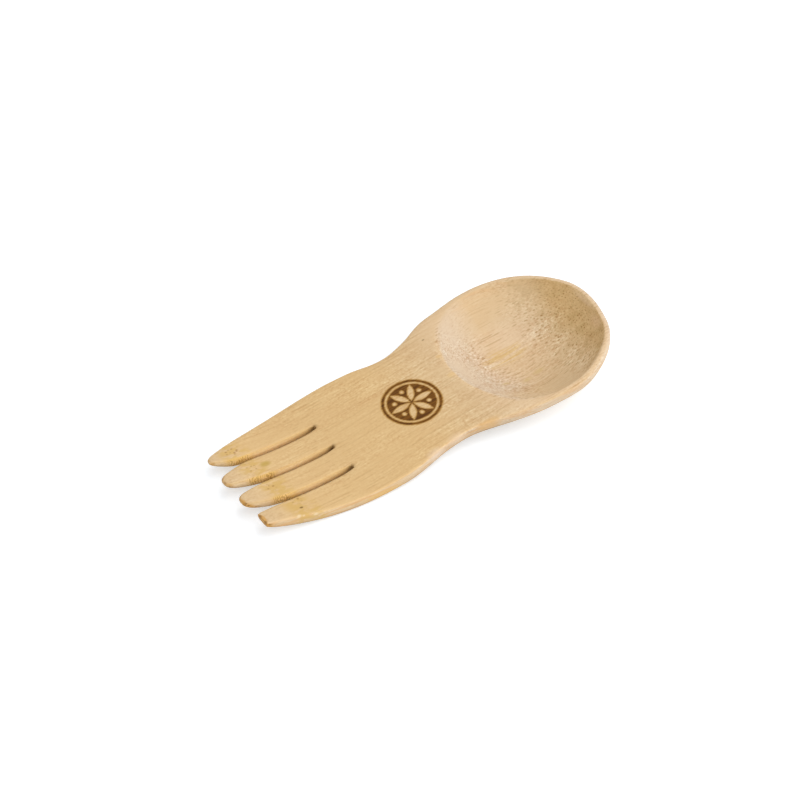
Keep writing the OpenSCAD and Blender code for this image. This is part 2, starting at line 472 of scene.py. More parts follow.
@dataclass(frozen=True)
class CulmRing:
    """The joint of the culm, which crosses the tines aslant. Lengths are in millimetres."""

    middle_x: float = -50.0
    lean: float = -0.17
    half_width: float = 5.0
    core_half_width: float = 1.8
    stray: float = 3.0
    stray_noise: Noise = Noise((0.10, 0.22, 0.22), 1.0)
    blotch_noise: Noise = Noise((0.34, 0.75, 0.75))
    blotch_span: Span = (0.40, 0.56)
    tick_stretch: Triple = (1.05, 1.35, 0.4)
    tick_span: Span = (0.55, 0.15)
    tick_chance_span: Span = (0.20, 0.55)
    ripple_scale: float = 0.42
    ripple_twist: float = 12.0
    ripple_detail: float = 2.0
    ripple_detail_scale: float = 1.3
    ripple_noise: Noise = Noise((0.30, 0.45, 0.45), 1.0)
    ripple_span: Span = (0.38, 0.58)
    ripple_low: float = 0.42

    def build(self) -> bpy.types.NodeTree:
        """Makes the node group that draws the ring.

        Returns:
            The group, with the input Place and the outputs Band, Blotch, Tick and Ripple.
        """
        names = ("Band", "Blotch", "Tick", "Ripple")
        g = GroupGraph("culm_ring", {"Place": "NodeSocketVector"}, names)
        place = g.inputs["Place"]
        x, y, _ = g.split(place)
        off = g.sum(Sum.SUBTRACT, x, g.sum(Sum.ADD, self.middle_x, g.product(y, self.lean)))
        stray = g.sum(Sum.SUBTRACT, g.noise(place, self.stray_noise)[0], NOISE_MIDDLE)
        off = g.sum(Sum.SIZE, g.sum(Sum.ADD, off, g.product(stray, self.stray)))
        band = g.ease(off, self.half_width, self.core_half_width)
        blotch = g.ease(g.noise(place, self.blotch_noise)[0], *self.blotch_span)
        specks = g.node("ShaderNodeTexVoronoi", voronoi_dimensions="3D", feature="F1")
        g.feed(specks.inputs["Vector"], g.place(Reach.STRETCH, place, self.tick_stretch))
        specks.inputs["Scale"].default_value = 1.0
        chance, _, _ = g.split(specks.outputs["Color"])
        tick = g.ease(specks.outputs["Distance"], *self.tick_span)
        tick = g.product(tick, g.ease(chance, *self.tick_chance_span))
        wave = g.node("ShaderNodeTexWave", wave_type="BANDS", bands_direction="X")
        g.feed(wave.inputs["Vector"], place)
        wave.inputs["Scale"].default_value = self.ripple_scale
        wave.inputs["Distortion"].default_value = self.ripple_twist
        wave.inputs["Detail"].default_value = self.ripple_detail
        wave.inputs["Detail Scale"].default_value = self.ripple_detail_scale
        patchy, _ = g.noise(place, self.ripple_noise)
        patchy = g.ease(patchy, *self.ripple_span, self.ripple_low, 1.0)
        return g.give(
            Band=band,
            Blotch=g.product(band, blotch),
            Tick=g.product(band, tick),
            Ripple=g.product(band, patchy, wave.outputs[1]),
        )


@dataclass(frozen=True)
class ScorchedRosette:
    """A round mark burnt into the neck: a dark disc with six bare petals, six dots and a ring.

    Lengths are in millimetres.
    """

    middle_x: float = -2.8
    middle_y: float = -0.5
    disc_r: float = 8.4
    ring_r: float = 7.15
    ring_half_w: float = 0.30
    petal_l: float = 5.8
    petal_start: float = 0.6
    petal_half_w: float = 0.95
    dot_ring_r: float = 4.7
    dot_r: float = 0.60
    petals: int = 6
    char_span: Span = (0.06, -0.32)
    toast_span: Span = (0.42, -0.10)
    creep: float = 0.50
    creep_noise: Noise = Noise((0.5, 2.4, 0.4))

    def _fold(
        self, g: GroupGraph, turn: Socket, far: Socket, start: float
    ) -> tuple[Socket, Socket]:
        """Folds the disc onto one of its equal sectors.

        Args:
            g: the group that is being made.
            turn: the angle round the middle.
            far: the distance from the middle.
            start: the angle of the first sector's middle.

        Returns:
            The place along the sector's middle line and the place across it.
        """
        half = math.pi / self.petals
        folded = g.sum(Sum.WRAP, g.sum(Sum.SUBTRACT, turn, start), half, -half)
        return g.product(far, g.sum(Sum.COSINE, folded)), g.product(far, g.sum(Sum.SINE, folded))

    def build(self) -> bpy.types.NodeTree:
        """Makes the node group that draws the mark.

        Returns:
            The group, with the input Place and the outputs Char and Toast.
        """
        g = GroupGraph("scorched_rosette", {"Place": "NodeSocketVector"}, ("Char", "Toast"))
        x, y, _ = g.split(g.inputs["Place"])
        u, v = g.sum(Sum.SUBTRACT, x, self.middle_x), g.sum(Sum.SUBTRACT, y, self.middle_y)
        far = g.place(Reach.LENGTH, g.join(u, v, 0.0))
        turn = g.sum(Sum.ANGLE, v, u)
        along, across = self._fold(g, turn, far, 0.0)
        arc_r = (self.petal_l**2 / 4 + self.petal_half_w**2) / (2 * self.petal_half_w)
        along = g.sum(Sum.SUBTRACT, along, self.petal_l / 2 + self.petal_start)
        beside = g.sum(Sum.ADD, g.sum(Sum.SIZE, across), arc_r - self.petal_half_w)
        petal = g.place(Reach.LENGTH, g.join(along, beside, 0.0))
        petal = g.sum(Sum.SUBTRACT, arc_r, petal)
        along, across = self._fold(g, turn, far, math.pi / self.petals)
        along = g.sum(Sum.SUBTRACT, along, self.dot_ring_r)
        dot = g.place(Reach.LENGTH, g.join(along, across, 0.0))
        dot = g.sum(Sum.SUBTRACT, self.dot_r, dot)
        ring = g.sum(Sum.SIZE, g.sum(Sum.SUBTRACT, far, self.ring_r))
        ring = g.sum(Sum.SUBTRACT, self.ring_half_w, ring)
        edge = g.sum(Sum.SUBTRACT, far, self.disc_r)
        for bare in (petal, dot, ring):
            edge = g.sum(Sum.LARGER, edge, bare)
        creep, _ = g.noise(g.inputs["Place"], self.creep_noise)
        creep = g.sum(Sum.SUBTRACT, creep, NOISE_MIDDLE)
        edge = g.sum(Sum.ADD, edge, g.product(creep, self.creep))
        return g.give(Char=g.ease(edge, *self.char_span), Toast=g.ease(edge, *self.toast_span))


@dataclass(frozen=True)
class Spot:
    """A small soft spot of another colour, such as a pore. Lengths are in millimetres."""

    at: Triple
    radius: float
    colour: Colour
    share: float
    stretch: Triple = (1.0, 1.0, 1.0)
    core_share: float = 0.4

    def lay(self, g: Graph, s: Surface, under: Feed) -> Socket:
        """Lays the spot on a colour.

        Args:
            g: the graph of the material.
            s: what the finish reads of the surface.
            under: the colour below.

        Returns:
            The colour with its spot.
        """
        away = g.place(Reach.SUBTRACT, s.place, self.at)
        away = g.place(Reach.LENGTH, g.place(Reach.STRETCH, away, self.stretch))
        share = g.ease(away, self.radius, self.core_share * self.radius, 0.0, self.share)
        return g.lay(self.colour, under, share)


PALE_NICK: Colour = (0.950, 0.800, 0.580, 1.0)
TIP_AMBER: Colour = (0.640, 0.340, 0.085, 1.0)
TIP_BROWN: Colour = (0.300, 0.140, 0.030, 1.0)
FLOOR_STAIN: Colour = (0.640, 0.460, 0.170, 1.0)
LIP_STAIN: Colour = (0.760, 0.490, 0.180, 1.0)
ROOT_SHADE: Colour = (0.210, 0.105, 0.018, 1.0)
ROOT_ROWS: Triple = (9.10, 0.10, -8.90)


@dataclass(frozen=True)
class SandedBamboo:
    """The bare, sanded bamboo.

    Lengths are in millimetres and colours are linear. A tint multiplies the colour below it. A span
    says where a soft step begins and where it is complete, of a place, a pattern or a part of the
    facing. A share or a paling says how far a colour is laid on there.
    """

    # The parts of the spork.
    outer_span: Span = (11.0, 13.0)
    side_span: Span = (0.45, 0.85)
    slot_wall_span: Span = (0.25, 0.70)
    past_slots_span: Span = (-28.6, -28.1)
    bowl_span: Span = (8.0, 20.0)
    under_span: Span = (0.45, 0.05)

    # The ground, golden on the flats and paler elsewhere, with painted light, reflection and shade.
    gold: Colour = (0.735, 0.495, 0.232, 1.0)
    pale: Colour = (0.685, 0.533, 0.375, 1.0)
    paling_span: Span = (-12.0, 20.0)
    paling: float = 0.42
    # Painted shade: the paling is held off the bowl's walls that face away from the lamp.
    painted_shade_wall_span: Span = (-0.50, -0.29)
    # Painted light and reflection: the bowl's lip and the walls that face the lamp are paler.
    lip_light_span: Span = (0.03, 0.34)
    lip_light_x_span: Span = (8.0, 12.0)
    lit_wall_span: Span = (-0.45, 0.40)
    lit_turn_span: Span = (0.22, 0.42)
    lit_turn_share: float = 0.60
    under_paling: float = 0.45
    # Painted reflection of the white table: the upright sides are paler, more so towards the neck.
    side_sheen_span: Span = (-28.0, -6.0)
    side_sheen_shares: Span = (0.40, 0.85)
    tip_paling_span: Span = (-48.0, -57.0)
    tip_paling: float = 0.30
    # Painted reflection: the bowl's walls that face towards +Y are paler.
    near_wall_sheen_span: Span = (0.05, 0.35)
    near_wall_sheen_share: float = 0.36

    # The tints of the ground, in the order in which they are laid; most are painted shade and
    # light.
    # Painted shade: a darker tint on the bowl's walls that face away from the lamp.
    painted_shade_tint: Colour = (0.865, 0.855, 0.840, 1.0)
    painted_shade_span: Span = (-0.29, -0.47)
    painted_shade_turn_span: Span = (0.95, 0.60)
    # Painted light: the upright sides of the fork and neck are lighter.
    side_light_tint: Colour = (1.080, 1.090, 1.100, 1.0)
    side_light_span: Span = (4.0, -2.0)
    # Painted shade: the lower part of the sides is darker, and the slot walls less so.
    low_edge_shade_tint: Colour = (0.640, 0.580, 0.460, 1.0)
    low_edge_shade_span: Span = (0.10, -0.38)
    low_edge_shade_end_span: Span = (-0.95, -0.80)
    low_edge_shade_slot_share: float = 0.40
    # Painted light: the bowl's near rim, where it faces the front, is lighter.
    rim_light_tint: Colour = (1.075, 1.070, 1.060, 1.0)
    rim_light_y_span: Span = (-13.0, -16.0)
    rim_light_span: Span = (-0.05, -0.35)
    # Painted highlight along the rounded top edge of the outline.
    chamfer_highlight_tint: Colour = (1.090, 1.090, 1.110, 1.0)
    chamfer_highlight_span: Span = (0.18, 0.38)
    chamfer_highlight_end_span: Span = (0.72, 0.52)
    floor_tint: Colour = (1.055, 1.050, 1.080, 1.0)
    floor_tint_span: Span = (0.94, 0.99)
    middle: Patch = Patch(41.0, 7.5, 15.0, 10.0, 0.30)
    middle_tint: Colour = (1.040, 1.070, 1.150, 1.0)
    slot_wall_tint: Colour = (1.025, 1.025, 0.950, 1.0)
    # Painted light deep in the slots, which lightens their shade.
    slot_depth_light_tint: Colour = (1.170, 1.225, 1.440, 1.0)
    slot_depth_light_span: Span = (0.78, 0.98)
    slot_depth_light_x_span: Span = (-29.0, -42.0)

    # The streaks and flecks of the fibres, and where they are bolder or fainter.
    shade_tint: Colour = (0.855, 0.755, 0.675, 1.0)
    shade_span: Span = (0.50, 0.75)
    gleam_tint: Colour = (1.120, 1.205, 1.310, 1.0)
    gleam_span: Span = (0.50, 0.25)
    broad_noise: Noise = Noise((0.022, 0.20, 0.20))
    broad_share: float = 0.17
    lines_share: float = 0.22
    dashes_share: float = 0.37
    flecks_share: float = 0.36
    cut_span: Span = (0.03, 0.26)
    cut_under_share: float = 0.45
    cut_far_span: Span = (-0.08, -0.40)
    cut_far_share: float = 0.42
    cut_boost: float = 2.05
    neck_start_span: Span = (-22.0, -8.0)
    neck_end_span: Span = (12.0, 6.0)
    neck_boost: float = 0.50
    polish: Patch = Patch(29.5, 18.0, 16.0, 7.0, 0.50)
    polish_share: float = 0.48
    calm_lip_span: Span = (0.42, 0.52)
    calm_lip_share: float = 0.35
    worn_noise: Noise = Noise((0.045, 0.16, 0.16), 1.0)
    worn_span: Span = (0.40, 0.60)
    worn_shares: Span = (0.60, 1.40)

    # The bowl's mottling, the streaks on its floor, the rods, and the orange streaks of the sides.
    mottle_tint: Colour = (0.900, 0.880, 0.820, 1.0)
    mottle_noise: Noise = Noise((0.26, 0.32, 0.32))
    mottle_span: Span = (0.46, 0.62)
    mottle_wall_span: Span = (-0.18, -0.42)
    floor_streaks: Patch = Patch(31.0, 2.0, 9.0, 4.5)
    floor_streak_tint: Colour = (0.960, 0.905, 0.680, 1.0)
    floor_streak_span: Span = (0.46, 0.60)
    rod_tint: Colour = (0.610, 0.490, 0.320, 1.0)
    rod_shares: Span = (0.36, 0.92)
    rod_soft_span: Span = (0.05, 0.30)
    rod_soft_share: float = 0.60
    rod_flat_share: float = 0.28
    rod_floor_share: float = 0.50
    orange: Colour = (0.740, 0.430, 0.180, 1.0)
    orange_noise: Noise = Noise((0.045, 0.35, 1.5), 2.0, 0.55)
    orange_span: Span = (0.46, 0.60)
    orange_place_span: Span = (-6.0, -16.0)
    orange_shares: Span = (0.45, 0.75)

    # The culm's ring.
    ring_bend: float = 1.6
    yellow: Colour = (0.660, 0.420, 0.115, 1.0)
    blotch_share: float = 0.65
    tick: Colour = (0.380, 0.185, 0.045, 1.0)
    tick_share: float = 0.74
    tick_patches: tuple[Patch, ...] = (
        Patch(-52.0, 13.2, 2.9, 2.4, 0.6),
        Patch(-51.8, 4.6, 2.8, 2.6, 0.6),
        Patch(-50.2, -3.9, 1.8, 1.8, 0.6),
        Patch(-46.9, -11.4, 2.2, 1.6, 0.6),
    )
    wall_amber: Colour = (0.860, 0.550, 0.170, 1.0)
    wall_amber_share: float = 0.62
    ripple: Colour = (0.400, 0.215, 0.045, 1.0)
    ripple_span: Span = (0.25, 0.75)
    ripple_share: float = 0.62

    # The cut ends of the tines.
    tip_span: Span = (-55.0, -57.8)
    end_span: Span = (-0.10, -0.36)
    end_fade_span: Span = (12.0, -12.0)
    end_fade_share: float = 0.20
    end_amber: Colour = (0.620, 0.310, 0.065, 1.0)
    end_lines_span: Span = (0.30, 0.55)
    end_amber_shares: Span = (0.50, 0.95)
    end_brown: Colour = (0.240, 0.100, 0.022, 1.0)
    end_spot_noise: Noise = Noise((0.6, 1.1, 1.1), 1.0)
    end_spot_span: Span = (0.47, 0.58)
    end_spot_share: float = 0.80

    # The scorched mark.
    top_span: Span = (0.3, 0.7)
    toast: Colour = (0.430, 0.215, 0.030, 1.0)
    toast_share: float = 0.90
    char: Colour = (0.085, 0.026, 0.003, 1.0)
    char_light: Colour = (0.190, 0.072, 0.008, 1.0)
    char_share: float = 0.95
    char_lines_span: Span = (0.42, 0.62)
    char_rod_share: float = 0.40

    # The relief and the gloss.
    dash_depth: float = 0.50
    rod_depth: float = 0.25
    char_depth: float = 1.60
    relief_depth: float = 0.08
    relief_strength: float = 0.14
    roughness: Span = (0.48, 0.64)
    roughness_span: Span = (0.25, 0.75)
    char_roughness: float = 0.95
    shine: float = 0.22

    spots: tuple[Spot, ...] = (
        # Two dark pores and the stain on a tine.
        Spot((-47.73, -14.16, 4.08), 0.44, (0.200, 0.105, 0.020, 1.0), 0.85, (0.6, 1.0, 1.0)),
        Spot((13.37, 16.48, 7.38), 0.34, (0.180, 0.095, 0.025, 1.0), 0.60, (0.6, 1.0, 1.0)),
        Spot((-46.90, 4.50, 3.96), 1.80, (0.490, 0.325, 0.045, 1.0), 0.66, (0.75, 1.3, 1.0), 0.3),
        # Nicks and stains along the edge.
        Spot((-49.90, -16.40, 4.20), 0.80, PALE_NICK, 0.50, (0.8, 1.2, 1.2), 0.1),
        Spot((-48.70, -16.90, 4.20), 0.60, PALE_NICK, 0.50, (0.9, 1.2, 1.2), 0.1),
        Spot((-45.60, -17.80, 3.50), 0.85, PALE_NICK, 0.50, (0.7, 1.2, 1.2), 0.1),
        Spot((-8.30, -19.50, 4.20), 2.60, (0.800, 0.610, 0.440, 1.0), 0.60, (0.6, 1.0, 1.0), 0.2),
        Spot((8.60, -19.80, 6.00), 1.90, (0.740, 0.440, 0.170, 1.0), 0.70, (0.28, 0.9, 0.9), 0.3),
        Spot((-26.50, -20.70, 1.70), 1.75, (0.790, 0.490, 0.170, 1.0), 0.75, (0.2, 0.8, 1.3), 0.3),
        Spot((56.00, -9.50, 10.20), 2.40, (0.800, 0.530, 0.320, 1.0), 0.45, (0.8, 0.5, 1.0), 0.2),
        Spot((-0.80, -18.40, 5.00), 2.20, (0.830, 0.620, 0.420, 1.0), 0.50, (0.5, 1.0, 1.0), 0.2),
        Spot((48.50, 15.00, 9.20), 7.50, (0.720, 0.545, 0.340, 1.0), 0.40, (1.0, 0.8, 1.0), 0.1),
        Spot((57.70, -0.50, 12.00), 1.40, (0.820, 0.610, 0.380, 1.0), 0.45, (1.0, 0.20, 1.0), 0.3),
        # The darkened tips.
        Spot((-58.60, -12.90, 5.30), 1.00, TIP_AMBER, 0.85, (1.0, 0.45, 0.6), 0.5),
        Spot((-58.60, -11.70, 5.30), 0.65, TIP_BROWN, 0.75, (1.0, 0.8, 0.7), 0.3),
        Spot((-58.60, -14.20, 5.30), 0.65, TIP_BROWN, 0.75, (1.0, 0.8, 0.7), 0.3),
        Spot((-59.60, -5.00, 5.40), 0.95, TIP_AMBER, 0.75, (1.0, 0.8, 0.6), 0.3),
        Spot((-58.80, 11.70, 4.50), 0.90, TIP_AMBER, 0.65, (0.7, 0.8, 0.8), 0.3),
        # Stains on the bowl's floor and lip, and painted shadow in the roots of the slots.
        Spot((34.60, -9.10, 3.30), 1.30, FLOOR_STAIN, 0.40, (0.45, 1.0, 1.0), 0.2),
        Spot((29.90, -9.80, 3.00), 1.10, FLOOR_STAIN, 0.40, (0.45, 1.0, 1.0), 0.2),
        Spot((24.20, -7.60, 3.00), 1.00, FLOOR_STAIN, 0.35, (0.45, 1.0, 1.0), 0.2),
        Spot((11.60, 0.80, 7.20), 1.30, LIP_STAIN, 0.40, (0.60, 1.0, 1.0), 0.2),
        Spot((12.90, 8.60, 7.30), 1.00, LIP_STAIN, 0.40, (0.80, 1.0, 1.0), 0.2),
        *(
            Spot((-28.50, y, 2.20), 1.05, ROOT_SHADE, 0.55, (0.5, 0.9, 0.45), 0.3)
            for y in ROOT_ROWS
        ),
    )

    def _read(self, g: Graph) -> Surface:
        """Reads the place and the facing of the surface.

        Args:
            g: the graph of the material.

        Returns:
            What the finish reads of the surface.
        """
        coordinates = g.node("ShaderNodeTexCoord").outputs
        place = g.place(Reach.SCALE, coordinates["Object"], 1 / MM)
        x, y, _ = g.split(place)
        facing_x, facing_y, facing_z = g.split(coordinates["Normal"])
        sideways = g.sum(Sum.SIZE, facing_y)
        return Surface(place, x, y, facing_x, facing_y, facing_z, sideways)

    def _part(self, g: Graph, s: Surface) -> Zones:
        """Tells the parts of the spork from each other.

        Args:
            g: the graph of the material.
            s: what the finish reads of the surface.

        Returns:
            The masks of the parts.
        """
        outer = g.ease(g.sum(Sum.SIZE, s.y), *self.outer_span)
        side = g.product(outer, g.ease(s.sideways, *self.side_span))
        wall = g.ease(s.sideways, *self.slot_wall_span)
        past_slots = g.ease(s.x, *self.past_slots_span)
        slots = g.product(wall, g.rest(outer), g.rest(past_slots))
        return Zones(outer, side, slots, g.ease(s.x, *self.bowl_span))

    def _pale(self, g: Graph, s: Surface, zones: Zones) -> Socket:
        """Finds how pale the ground is: more so round the bowl, on the sides and at the tips.
        On the lip, the bowl's walls and the sides it is painted light and reflection, and painted
        shade keeps it off the walls that face away from the lamp.

        Args:
            g: the graph of the material.
            s: what the finish reads of the surface.
            zones: the masks of the parts.

        Returns:
            The share of the pale colour.
        """
        # Painted shade: no paling where the bowl's walls face away from the lamp.
        unshaded = g.ease(s.facing_x, *self.painted_shade_wall_span)
        paling = g.product(g.ease(s.x, *self.paling_span, 0.0, self.paling), unshaded)
        # Painted light and reflection: the lip and the bowl's walls that face the lamp are paler.
        lip_light = g.product(g.ease(s.x, *self.lip_light_x_span), g.ease(s.facing_x, *self.lip_light_span))
        lit = g.product(zones.bowl, g.ease(s.facing_x, *self.lit_wall_span))
        lit = g.sum(Sum.LARGER, lit, lip_light)
        lit = g.product(lit, g.ease(s.facing_z, *self.under_span, 1.0, self.under_paling))
        lit = g.product(lit, g.ease(s.facing_y, *self.lit_turn_span, 1.0, self.lit_turn_share))
        # Painted reflection of the white table on the upright sides.
        side_sheen = g.product(zones.side, g.ease(s.x, *self.side_sheen_span, *self.side_sheen_shares))
        at_tips = g.ease(s.x, *self.tip_paling_span, 0.0, self.tip_paling)
        # Painted reflection: the bowl's walls that face towards +Y are paler.
        near_wall_sheen = g.ease(s.facing_y, *self.near_wall_sheen_span, 0.0, self.near_wall_sheen_share)
        near_wall_sheen = g.product(zones.bowl, near_wall_sheen, unshaded)
        for share in (lit, side_sheen, at_tips, near_wall_sheen):
            paling = g.sum(Sum.LARGER, paling, share)
        return paling

    def _ground(self, g: Graph, s: Surface, zones: Zones) -> Socket:
        """Gives the ground colour with its tints, several of which are painted shade, light and
        highlights.

        Args:
            g: the graph of the material.
            s: what the finish reads of the surface.
            zones: the masks of the parts.

        Returns:
            The colour.
        """
        bowl, no_bowl = zones.bowl, g.rest(zones.bowl)
        # Painted shade: the bowl's walls that face away from the lamp are darkened.
        wall_shade = g.product(bowl, g.ease(s.facing_x, *self.painted_shade_span))
        wall_shade = g.product(wall_shade, g.ease(s.facing_y, *self.painted_shade_turn_span))
        # Painted light: the upright sides of the fork and neck are lighter.
        side = g.product(zones.side, g.ease(s.x, *self.side_light_span))
        # Painted shade: the lower part of the sides is darker, and the slot walls less so.
        low = g.ease(s.facing_z, *self.low_edge_shade_span)
        low = g.product(low, g.ease(s.facing_z, *self.low_edge_shade_end_span), no_bowl)
        low = g.product(low, g.ease(zones.slots, *WHOLE, 1.0, self.low_edge_shade_slot_share))
        # Painted light: the bowl's near rim, where it faces the front, is lighter.
        rim_light = g.product(bowl, g.ease(s.y, *self.rim_light_y_span), g.ease(s.facing_y, *self.rim_light_span))
        # Painted highlight along the rounded top edge of the outline.
        chamfer_highlight = g.ease(s.sideways, *self.chamfer_highlight_span)
        chamfer_highlight = g.product(chamfer_highlight, g.ease(s.sideways, *self.chamfer_highlight_end_span))
        chamfer_highlight = g.product(chamfer_highlight, zones.outer, no_bowl)
        floor = g.product(bowl, g.ease(s.facing_z, *self.floor_tint_span))
        # Painted light deep in the slots, which lightens their shade.
        deep = g.product(zones.slots, g.ease(s.sideways, *self.slot_depth_light_span))
        deep = g.product(deep, g.ease(s.x, *self.slot_depth_light_x_span))
        tints = (
            (self.painted_shade_tint, wall_shade),
            (self.side_light_tint, side),
            (self.low_edge_shade_tint, low),
            (self.rim_light_tint, rim_light),
            (self.chamfer_highlight_tint, chamfer_highlight),
            (self.floor_tint, floor),
            (self.middle_tint, g.product(bowl, self.middle.mask(g, s))),
            (self.slot_wall_tint, zones.slots),
            (self.slot_depth_light_tint, deep),
        )
        colour = g.lay(self.pale, self.gold, self._pale(g, s, zones))
        for tint, share in tints:
            colour = g.lay(tint, colour, share, Lay.TINT)
        return colour

    def _cut(self, g: Graph, s: Surface, zones: Zones) -> Socket:
        """Finds how far the bowl cuts across the fibres.

        Args:
            g: the graph of the material.
            s: what the finish reads of the surface.
            zones: the masks of the parts.

        Returns:
            The cut, from 0 along the fibres to 1 across them.
        """
        cut = g.sum(Sum.ADD, s.facing_x, g.product(s.facing_z, BambooFibres.tilt))
        cut = g.product(zones.bowl, g.ease(g.sum(Sum.SIZE, cut), *self.cut_span))
        cut = g.product(cut, g.ease(s.facing_z, *self.under_span, 1.0, self.cut_under_share))
        return g.product(cut, g.ease(s.facing_y, *self.cut_far_span, 1.0, self.cut_far_share))

    def _streak(self, g: Graph, s: Surface, zones: Zones, grain: Outputs, colour: Feed) -> Socket:
        """Lays the streaks, flecks and rods of the fibres on a colour.

        Args:
            g: the graph of the material.
            s: what the finish reads of the surface.
            zones: the masks of the parts.
            grain: the outputs of the fibres' group.
            colour: the ground colour.

        Returns:
            The streaked colour.
        """
        cut = self._cut(g, s, zones)
        rough = g.rest(g.product(self.polish.mask(g, s), self.polish_share))
        rough = g.product(rough, g.ease(s.facing_x, *self.calm_lip_span, 1.0, self.calm_lip_share))
        neck = g.product(g.ease(s.x, *self.neck_start_span), g.ease(s.x, *self.neck_end_span))
        boost = g.ease(cut, *WHOLE, 1.0, self.cut_boost)
        boost = g.sum(Sum.ADD, boost, g.product(neck, self.neck_boost))
        worn = g.ease(g.noise(s.place, self.worn_noise)[0], *self.worn_span, *self.worn_shares)
        bold = g.product(rough, boost, worn)
        patterns = (
            (g.noise(s.place, self.broad_noise)[0], self.broad_share),
            (grain["Lines"], self.lines_share),
            (grain["Dashes"], self.dashes_share),
            (grain["Flecks"], self.flecks_share),
        )
        hues = ((self.shade_tint, self.shade_span), (self.gleam_tint, self.gleam_span))
        for pattern, share in patterns:
            for tint, span in hues:
                strength = g.product(g.ease(pattern, *span, 0.0, share), bold)
                colour = g.lay(tint, colour, strength, Lay.TINT)
        mottle = g.ease(g.noise(s.place, self.mottle_noise)[0], *self.mottle_span)
        mottle = g.product(zones.bowl, mottle, g.ease(s.facing_x, *self.mottle_wall_span))
        colour = g.lay(self.mottle_tint, colour, mottle, Lay.TINT)
        floor = g.ease(grain["Lines"], *self.floor_streak_span)
        floor = g.product(self.floor_streaks.mask(g, s), floor)
        colour = g.lay(self.floor_streak_tint, colour, floor, Lay.TINT)
        shade = g.ease(grain["Shade"], *WHOLE, *self.rod_shares)
        soft = g.ease(s.facing_x, *self.rod_soft_span, 1.0, self.rod_soft_share)
        least = g.ease(zones.bowl, *WHOLE, self.rod_flat_share, self.rod_floor_share)
        rod = g.product(grain["Rod"], shade, soft, g.ease(cut, *WHOLE, least, 1.0), rough)
        return g.lay(self.rod_tint, colour, rod, Lay.TINT)

    def _redden(self, g: Graph, s: Surface, zones: Zones, colour: Feed) -> Socket:
        """Lays the orange streaks of the sides on a colour.

        Args:
            g: the graph of the material.
            s: what the finish reads of the surface.
            zones: the masks of the parts.
            colour: the colour below.

        Returns:
            The colour with its orange streaks.
        """
        streaks = g.ease(g.noise(s.place, self.orange_noise)[0], *self.orange_span)
        share = g.ease(s.x, *self.orange_place_span, *self.orange_shares)
        return g.lay(self.orange, colour, g.product(zones.side, streaks, share))

    def _joint(self, g: Graph, s: Surface, zones: Zones, ring: Outputs, colour: Feed) -> Socket:
        """Lays the marks of the culm's ring on a colour.

        Args:
            g: the graph of the material.
            s: what the finish reads of the surface.
            zones: the masks of the parts.
            ring: the outputs of the ring's group.
            colour: the colour below.

        Returns:
            The marked colour.
        """
        colour = g.lay(self.yellow, colour, g.product(ring["Blotch"], self.blotch_share))
        for patch in self.tick_patches:
            share = g.product(ring["Tick"], patch.mask(g, s), self.tick_share)
            colour = g.lay(self.tick, colour, share)
        amber = g.product(ring["Band"], zones.slots, self.wall_amber_share)
        colour = g.lay(self.wall_amber, colour, amber)
        ripple = g.ease(ring["Ripple"], *self.ripple_span, 0.0, self.ripple_share)
        return g.lay(self.ripple, colour, g.product(ripple, zones.slots))

    def _end(self, g: Graph, s: Surface, grain: Outputs, colour: Feed) -> Socket:
        """Lays the amber of the cut ends on a colour.

        Args:
            g: the graph of the material.
            s: what the finish reads of the surface.
            grain: the outputs of the fibres' group.
            colour: the colour below.

        Returns:
            The colour with its ends.
        """
        end = g.product(g.ease(s.x, *self.tip_span), g.ease(s.facing_x, *self.end_span))
        end = g.product(end, g.ease(s.y, *self.end_fade_span, self.end_fade_share, 1.0))
        amber = g.ease(grain["Lines"], *self.end_lines_span, *self.end_amber_shares)
        colour = g.lay(self.end_amber, colour, g.product(end, amber))
        spots, _ = g.noise(s.place, self.end_spot_noise)
        spots = g.ease(spots, *self.end_spot_span, 0.0, self.end_spot_share)
        return g.lay(self.end_brown, colour, g.product(end, spots))

    def _burn(self, g: Graph, s: Surface, grain: Outputs, colour: Feed) -> tuple[Socket, Socket]:
        """Lays the scorched mark on a colour.

        Args:
            g: the graph of the material.
            s: what the finish reads of the surface.
            grain: the outputs of the fibres' group.
            colour: the colour below.

        Returns:
            The marked colour, and the mask of the char.
        """
        mark = g.group(ScorchedRosette().build(), Place=s.place)
        top = g.ease(s.facing_z, *self.top_span)
        colour = g.lay(self.toast, colour, g.product(mark["Toast"], top, self.toast_share))
        dark = g.ease(grain["Lines"], *self.char_lines_span)
        dark = g.sum(Sum.ADD, dark, g.product(grain["Rod"], self.char_rod_share))
        charred = g.lay(self.char, self.char_light, g.sum(Sum.SMALLER, dark, 1.0))
        char = g.product(mark["Char"], top)
        return g.lay(charred, colour, g.product(char, self.char_share)), char

    def build(self) -> bpy.types.Material:
        """Makes the material.

        Returns:
            The bamboo material, on Object coordinates.
        """
        material = bpy.data.materials.new("sanded_bamboo")
        material.use_nodes = True
        g = Graph(material.node_tree)
        s = self._read(g)
        zones = self._part(g, s)
        ring = g.group(CulmRing().build(), Place=s.place)
        bend = g.product(ring["Band"], self.ring_bend)
        grain = g.group(BambooFibres().build(), Place=s.place, Bend=bend)
        colour = self._ground(g, s, zones)
        colour = self._streak(g, s, zones, grain, colour)
        colour = self._redden(g, s, zones, colour)
        colour = self._joint(g, s, zones, ring, colour)
        colour = self._end(g, s, grain, colour)
        for spot in self.spots:
            colour = spot.lay(g, s, colour)
        colour, char = self._burn(g, s, grain, colour)

